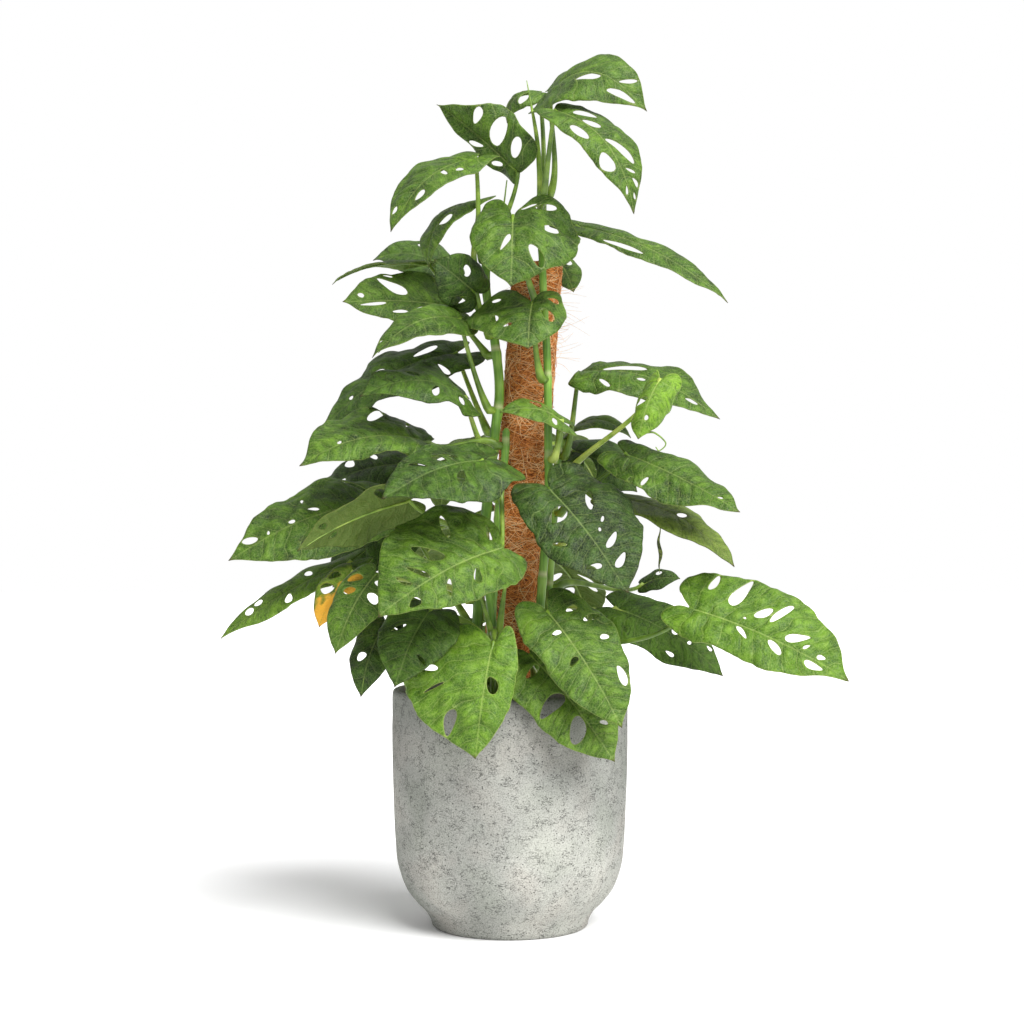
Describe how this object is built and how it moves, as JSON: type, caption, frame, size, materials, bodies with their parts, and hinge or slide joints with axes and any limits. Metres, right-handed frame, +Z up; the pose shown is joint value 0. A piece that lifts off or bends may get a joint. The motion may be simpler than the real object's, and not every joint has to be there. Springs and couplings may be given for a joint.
{
  "type": "potted climbing houseplant",
  "caption": "Monstera adansonii with holed leaves climbing a coir pole in a round cast concrete pot.",
  "frame": {"origin": "middle of the pot's underside, on the surface that it stands on", "axes": "+Z up, -Y the side that the picture shows, +X to the picture's right"},
  "size_m": [0.6853, 0.452, 0.9938],
  "materials": {
    "cast_concrete": "matte",
    "potting_soil": "matte",
    "pole_wood": "matte",
    "coir": "matte",
    "stem_green": "satin",
    "leaf_green": "satin",
    "leaf_bright_green": "satin",
    "leaf_dark_green": "satin",
    "leaf_olive_green": "satin",
    "leaf_yellow_green": "satin"
  },
  "bodies": {
    "root": {"pot": "cast_concrete", "soil": "potting_soil", "pole_rod": "pole_wood", "coir_sleeve": "coir", "stem_front_right": "stem_green", "stem_left": "stem_green", "stem_front_left": "stem_green", "stem_right": "stem_green", "stem_low_front": "stem_green", "stem_back": "stem_green", "leaf_top_right": "leaf_green", "leaf_upper_right": "leaf_green", "leaf_crumpled": "leaf_green", "leaf_young_curl": "leaf_green", "leaf_upper_left": "leaf_green", "leaf_thin_left": "leaf_green", "leaf_bright_heart": "leaf_green", "leaf_long_right": "leaf_green", "leaf_pole_heart": "leaf_green", "leaf_small_back_right": "leaf_green", "leaf_edge_on_left": "leaf_green", "leaf_dome_left": "leaf_dark_green", "leaf_tip_left_upper": "leaf_green", "leaf_curly_left": "leaf_dark_green", "leaf_arching_left": "leaf_green", "leaf_mid_left": "leaf_dark_green", "leaf_mid_left_low": "leaf_dark_green", "leaf_pale_rib_left": "leaf_green", "leaf_dark_front_left": "leaf_dark_green", "leaf_big_left": "leaf_green", "leaf_above_big_left": "leaf_dark_green", "leaf_olive_left": "leaf_olive_green", "leaf_big_front_left": "leaf_green", "leaf_left_inner": "leaf_dark_green", "leaf_long_low_left": "leaf_green", "leaf_half_yellow": "leaf_yellow_green", "leaf_low_left_a": "leaf_green", "leaf_low_left_b": "leaf_dark_green", "leaf_low_left_c": "leaf_dark_green", "leaf_right_upper": "leaf_green", "leaf_young_bright": "leaf_bright_green", "leaf_pole_cross": "leaf_green", "leaf_small_arch_right": "leaf_green", "leaf_puckered_right": "leaf_green", "leaf_behind_right": "leaf_dark_green", "leaf_under_right": "leaf_olive_green", "leaf_big_centre_right": "leaf_dark_green", "leaf_front_left_low": "leaf_bright_green", "leaf_front_right_low": "leaf_green", "leaf_front_right_under": "leaf_green", "leaf_right_low": "leaf_dark_green", "leaf_right_low_small": "leaf_dark_green", "leaf_far_right_big": "leaf_bright_green", "leaf_back_left_high": "leaf_green", "leaf_back_right_high": "leaf_green", "leaf_back_left_low": "leaf_green", "leaf_back_right_low": "leaf_green", "leaf_back_low": "leaf_green", "leaf_back_side_left": "leaf_green"}
  },
  "joints": []
}
